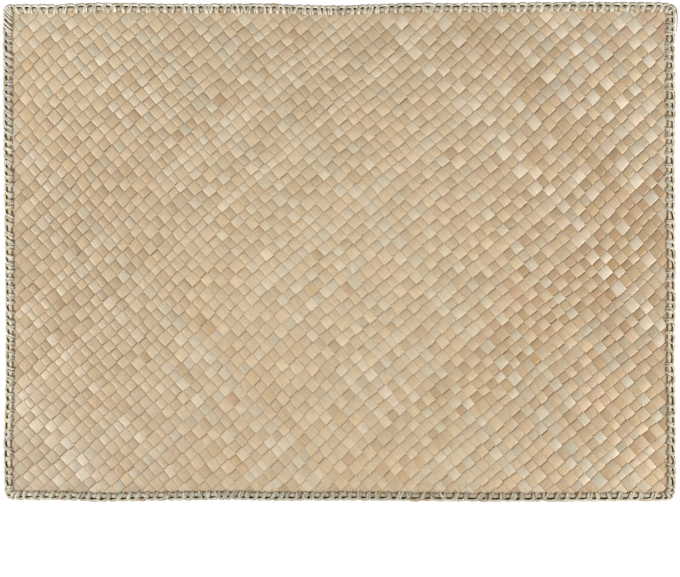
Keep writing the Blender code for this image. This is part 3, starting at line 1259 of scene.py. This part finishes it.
@dataclass
class Lashing:
    """The leaf thread that is sewn round the rim."""

    edge: StitchedEdge
    seed: int = 5
    unevenness: float = 0.24 * MM
    girth_unevenness: float = 0.22
    usual_pitch: float = 5.9 * MM
    slant: float = 0.22
    shift_unevenness: float = 0.1
    slant_unevenness: float = 0.4
    spread_unevenness: float = 0.35
    slant_middle: float = 0.3
    clearance: float = 0.02 * MM
    grain_round: float = 0.6 * MM
    light_spread: float = 0.06
    stitch_light_spread: float = 0.07
    # Painted shade at the strands' ends and on their lower sides.
    end_shade: float = 0.4
    low_shade: float = 0.2
    green_tint: tuple[float, float, float] = (0.86, 0.88, 0.8)
    brown_tint: tuple[float, float, float] = (0.8, 0.66, 0.5)
    shared: np.ndarray = field(init=False)

    def __post_init__(self) -> None:
        """Draws how each stitch differs from the others as a whole: its shift, slant, girth and tone."""
        self.shared = np.random.RandomState(self.seed).uniform(-1, 1, (self.edge.stitches, 4))

    def _stations(self, strand: Strand) -> np.ndarray:
        """Where a strand is repeated.

        Args:
            strand: The strand.

        Returns:
            Stitch numbers, whole at a stitch and between two otherwise.
        """
        if strand.past_corner:
            return self._past(strand.corner) + np.array(strand.past_corner)
        stitches = np.arange(self.edge.stitches, dtype=float)
        if not strand.gives_way:
            return stitches
        past = stitches - self._past(CORNER_WRAP.corner)
        return stitches[(past < CORNER_WRAP.past_corner[0]) | (past > CORNER_WRAP.past_corner[-1])]

    def _past(self, corner: tuple[int, int]) -> int:
        """The stitch at the corner of the mat that has these signs of X and Y."""
        return int(np.argmax(self.edge.outer @ np.array(corner)))

    def _strand(self, strand: Strand) -> bpy.types.Object:
        """Models a strand once, straight, and repeats it for each of its places.

        Args:
            strand: The strand.

        Returns:
            One object that holds all the copies, still straight and in one place.
        """
        bpy.ops.object.select_all(action="DESELECT")
        bpy.ops.mesh.primitive_circle_add(vertices=strand.sides, radius=1, fill_type="NGON")
        piece = bpy.context.object
        bpy.ops.object.mode_set(mode="EDIT")
        bpy.ops.mesh.select_all(action="SELECT")
        for _ in range(strand.rings - 1):
            bpy.ops.mesh.extrude_region_move(TRANSFORM_OT_translate={"value": (0, 0, 1)})
        bpy.ops.mesh.select_all(action="SELECT")
        bpy.ops.mesh.normals_make_consistent(inside=False)
        bpy.ops.object.mode_set(mode="OBJECT")
        bpy.ops.object.modifier_add(type="ARRAY")
        copies = piece.modifiers[-1]
        copies.count = len(self._stations(strand))
        copies.use_relative_offset = False
        copies.use_constant_offset = False
        copies.use_merge_vertices = False
        bpy.ops.object.modifier_apply(modifier=copies.name)
        piece.name = strand.name
        return piece

    def _route(self, strand: Strand, draw: np.random.RandomState) -> tuple[np.ndarray, np.ndarray]:
        """Works out the middle line and half sizes of every copy of a strand.

        Args:
            strand: The strand.
            draw: Source of its unevenness.

        Returns:
            The middle lines in space, and the half widths and half depths.
        """
        table = np.array([astuple(knot) for knot in strand.knots])
        values = eased_through(table, np.linspace(0, len(table) - 1, strand.rings))[None]
        stations = self._stations(strand)
        copies = len(stations)
        nearest = np.rint(stations).astype(int) % self.edge.stitches
        shared = self.shared[nearest]
        share = np.linspace(-1, 1, strand.rings)[None, :]
        lean = draw.uniform(-1, 1, (copies, 5))
        pitch = np.linalg.norm(np.roll(self.edge.outer, -1, axis=0) - self.edge.outer, axis=1)[nearest]
        narrow = (self.usual_pitch / pitch)[:, None]
        past = values[..., 0]
        if strand.across:
            past = past * narrow * (1 + self.spread_unevenness * shared[:, 2:3])
        sway = strand.wobble * (lean[:, :1] * share + 0.5 * lean[:, 1:2]) / 2
        slants = strand.slant or self.slant + self.slant_unevenness * shared[:, 1:2]
        slant = slants * (values[..., 1] * MM / self.edge.bar_reach - self.slant_middle)
        shift = self.shift_unevenness * shared[:, :1]
        stitch = stations[:, None] + past + narrow * (sway + slant) + shift
        inset = values[..., 1] * MM + self.unevenness * lean[:, 2:3] * (1 + share) / 2
        height = values[..., 2] * MM + 0.5 * self.unevenness * lean[:, 3:4]
        places = self.edge.at(stitch, inset)
        route = np.concatenate([places, np.broadcast_to(height, stitch.shape)[..., None]], axis=-1)
        girth = 1 + self.girth_unevenness * lean[:, 4:5, None]
        halves = values[..., 3:5] * MM * girth
        route[..., 2] = np.maximum(route[..., 2], halves[..., 1] + self.clearance)
        return route, halves

    def _bend(self, strand: Strand, piece: bpy.types.Object, draw: np.random.RandomState) -> None:
        """Bends every copy of a strand along its own stitch and colours it.

        Args:
            strand: The strand.
            piece: The copies.
            draw: Source of their unevenness.
        """
        mesh = piece.data
        route, halves = self._route(strand, draw)
        copies = len(route)
        run = np.gradient(route, axis=1)
        run /= np.linalg.norm(run, axis=-1, keepdims=True)
        sideways = np.cross(np.broadcast_to([0.0, 0.0, 1.0], run.shape), run)
        sideways /= np.linalg.norm(sideways, axis=-1, keepdims=True)
        upward = np.cross(run, sideways)
        flat = corners_of(mesh).reshape(copies, -1, 3)
        ring = np.rint(flat[0, :, 2]).astype(int)
        out = flat[0, :, 0][None, :, None] * halves[:, ring, 0][..., None]
        up = flat[0, :, 1][None, :, None] * halves[:, ring, 1][..., None]
        corners = route[:, ring] + sideways[:, ring] * out + upward[:, ring] * up
        set_corners(mesh, corners.reshape(-1, 3))
        chords = np.linalg.norm(np.diff(route, axis=1), axis=-1)
        length = np.concatenate([np.zeros((copies, 1)), np.cumsum(chords, axis=1)], axis=1)
        angle = np.arctan2(flat[0, :, 1], flat[0, :, 0])
        around = np.broadcast_to(angle * self.grain_round, (copies, len(ring)))
        start = draw.uniform(0, 1, (copies, 2))
        grain = np.stack([around + start[:, :1], length[:, ring] + start[:, 1:]], axis=-1)
        shared = self.shared[np.rint(self._stations(strand)).astype(int) % self.edge.stitches]
        light = 1 + self.light_spread * draw.uniform(-1, 1, (copies, 1, 1))
        light = light + self.stitch_light_spread * shared[:, 3:4, None]
        pick = draw.uniform(-1, 1, (copies, 1, 1))
        green, brown = smooth_step(pick, 0, 1), smooth_step(-pick, 0.6, 1)
        greened, browned = (1 - np.array(tint) for tint in (self.green_tint, self.brown_tint))
        tone = THREAD_TONE * light * (1 - green * greened - brown * browned)
        tone = np.broadcast_to(tone, (copies, len(ring), 3))
        # Painted shade at each strand's ends and on its lower side.
        ends = np.abs(ring / (strand.rings - 1) * 2 - 1) ** 6
        low = self.low_shade * (flat[0, :, 1] < -0.3)
        shade = np.broadcast_to(strand.shade + self.end_shade * ends + low, (copies, len(ring)))
        set_tones(mesh, tone.reshape(-1, 3), shade.reshape(-1))
        set_grain(mesh, grain.reshape(-1, 2))

    def build(self, strands: tuple[Strand, ...], name: str, finish: bpy.types.Material) -> bpy.types.Object:
        """Builds some of the lashing's strands as one piece.

        Args:
            strands: The strands.
            name: The piece's name.
            finish: The thread material.

        Returns:
            The finished piece.
        """
        made = []
        for number, strand in enumerate(strands):
            piece = self._strand(strand)
            self._bend(strand, piece, np.random.RandomState(self.seed * 100 + number))
            made.append(piece)
        lashing = join(made, name)
        dress(lashing, finish, angle_deg=80)
        return lashing


def eased_through(table: np.ndarray, place: np.ndarray) -> np.ndarray:
    """Reads rows of a table smoothly.

    Args:
        table: The rows.
        place: Row numbers, whole or between.

    Returns:
        One row for each place.
    """
    last = len(table) - 1
    whole = np.minimum(np.floor(place).astype(int), last - 1)
    part = (place - whole)[:, None]
    before, start, end, after = (table[np.clip(whole + step, 0, last)] for step in (-1, 0, 1, 2))
    return 0.5 * (
        2 * start
        + (end - before) * part
        + (2 * before - 5 * start + 4 * end - after) * part**2
        + (3 * start - before - 3 * end + after) * part**3
    )


@dataclass
class Studio:
    """The floor, two soft lights low at the left and right, and the camera straight above the mat."""

    photo_width: int = 680
    photo_height: int = 577
    metres_per_pixel: float = 0.6705 * MM
    mat_centre: tuple[float, float] = (339.35, 251.65)
    lens: float = 100.0
    sensor: float = 36.0
    floor_size: float = 6.0
    floor_grey: float = 0.15
    floor_roughness: float = 0.9
    floor_glow: float = 0.97
    light_places: tuple[tuple[float, float, float], ...] = ((-0.9, -0.3, 0.36), (0.9, -0.3, 0.36))
    light_aims: tuple[tuple[float, float, float], ...] = ((-0.08, 0.11, 0.0), (0.09, 0.08, 0.0))
    light_energies: tuple[float, ...] = (55.0, 50.0)
    light_size: float = 0.1
    light_cone_deg: float = 58.0
    sky_strength: float = 0.16

    def camera(self) -> None:
        """Looks straight down on the mat, as the photograph does."""
        data = bpy.data.cameras.new("camera")
        data.lens = self.lens
        data.sensor_width = self.sensor
        width = self.photo_width * self.metres_per_pixel
        camera = bpy.data.objects.new("camera", data)
        bpy.context.scene.collection.objects.link(camera)
        right = (self.photo_width / 2 - self.mat_centre[0]) * self.metres_per_pixel
        down = (self.photo_height / 2 - self.mat_centre[1]) * self.metres_per_pixel
        camera.location = (right, -down, width * self.lens / self.sensor)
        bpy.context.scene.camera = camera

    def lights(self) -> None:
        """Sets a soft light on each side, each for its own half of the mat, and an even white sky."""
        lamps = zip(self.light_places, self.light_aims, self.light_energies)
        for number, (place, aim, energy) in enumerate(lamps):
            data = bpy.data.lights.new(f"softbox_{number}", "SPOT")
            data.shadow_soft_size = self.light_size
            data.spot_size = math.radians(self.light_cone_deg)
            data.spot_blend = 1.0
            data.energy = energy
            lamp = bpy.data.objects.new(data.name, data)
            lamp.location = place
            lamp.rotation_euler = (Vector(aim) - Vector(place)).to_track_quat("-Z", "Y").to_euler()
            bpy.context.scene.collection.objects.link(lamp)
        world = bpy.data.worlds.new("studio")
        world.use_nodes = True
        sky = world.node_tree.nodes["Background"]
        sky.inputs["Color"].default_value = (1, 1, 1, 1)
        sky.inputs["Strength"].default_value = self.sky_strength
        bpy.context.scene.world = world

    def floor(self) -> None:
        """Lays the plain pale floor."""
        bpy.ops.object.select_all(action="DESELECT")
        bpy.ops.mesh.primitive_plane_add(size=self.floor_size)
        floor = bpy.context.object
        floor.name = "floor"
        material, _, shader = new_material("floor_white")
        shader.inputs["Base Color"].default_value = (*[self.floor_grey] * 3, 1)
        shader.inputs["Roughness"].default_value = self.floor_roughness
        shader.inputs["Specular IOR Level"].default_value = 0.0
        shader.inputs["Emission Color"].default_value = (1, 1, 1, 1)
        shader.inputs["Emission Strength"].default_value = self.floor_glow
        floor.data.materials.append(material)

    def build(self) -> None:
        """Builds the whole studio."""
        self.floor()
        self.lights()
        self.camera()
        bpy.context.scene.view_settings.view_transform = "Standard"


def report(piece: bpy.types.Object) -> None:
    """Logs a piece's name and size."""
    piece.data.calc_loop_triangles()
    log.info("%s: %d triangles", piece.name, len(piece.data.loop_triangles))


def main() -> None:
    """Builds the mat's pieces, dresses them and sets the studio."""
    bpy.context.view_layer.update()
    edge = StitchedEdge()
    log.info("%d stitches", edge.stitches)
    falling = StripFamily(
        "falling",
        heading_deg=-49.5,
        width=7.3 * MM,
        width_swing=0.6 * MM,
        width_jitter=0.9 * MM,
        gap=-0.7 * MM,
        gap_jitter=0.12 * MM,
        over_first=0,
        bow=1.1 * MM,
        bow_length=310 * MM,
        bow_start=0.6,
        dive=(-0.5, 0.42),
        rim=0.4,
        lightness=1.025,
        seed=11,
        stays_over=0.08,
        over_steps=(-0.5, -0.4, 0.0, 0.4),
        over_widths=(1.0, 1.0, 1.0, 1.0),
        under_steps=(-0.5, -0.43, -0.36, 0.0, 0.36, 0.43),
        under_widths=(1.0, 0.93, 1.0, 1.0, 1.0, 0.93),
    )
    rising = StripFamily(
        "rising",
        heading_deg=42.5,
        width=6.62 * MM,
        width_swing=0.65 * MM,
        width_jitter=0.95 * MM,
        gap=0.78 * MM,
        gap_jitter=0.2 * MM,
        over_first=1,
        bow=1.8 * MM,
        bow_length=290 * MM,
        bow_start=2.2,
        dive=(-0.25, 0.62),
        rim=0.38,
        lightness=0.975,
        seed=12,
    )
    plait = Plait(edge, falling, rising)
    leaf = LEAF_FINISH.material()
    core = EdgeCore(edge).build(CORE_FINISH.material())
    lashing = Lashing(edge).build(STRANDS, "lashing", THREAD_FINISH.material())
    for piece, node, slot in ((core, CORE_NODE, "core_leaf"), (lashing, STITCHING_NODE, "leaf_thread")):
        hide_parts(node)
        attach(piece, BODY)
        report(piece)
    for own, other in ((falling, rising), (rising, falling)):
        for turn, width in enumerate(("wide", "narrow")):
            piece = plait.build(own, other, turn, f"{own.name}_strips_{width}", leaf)
            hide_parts(PANEL_NODE)
            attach(piece, BODY)
            report(piece)
    Studio().build()


if __name__ == "__main__":
    main()
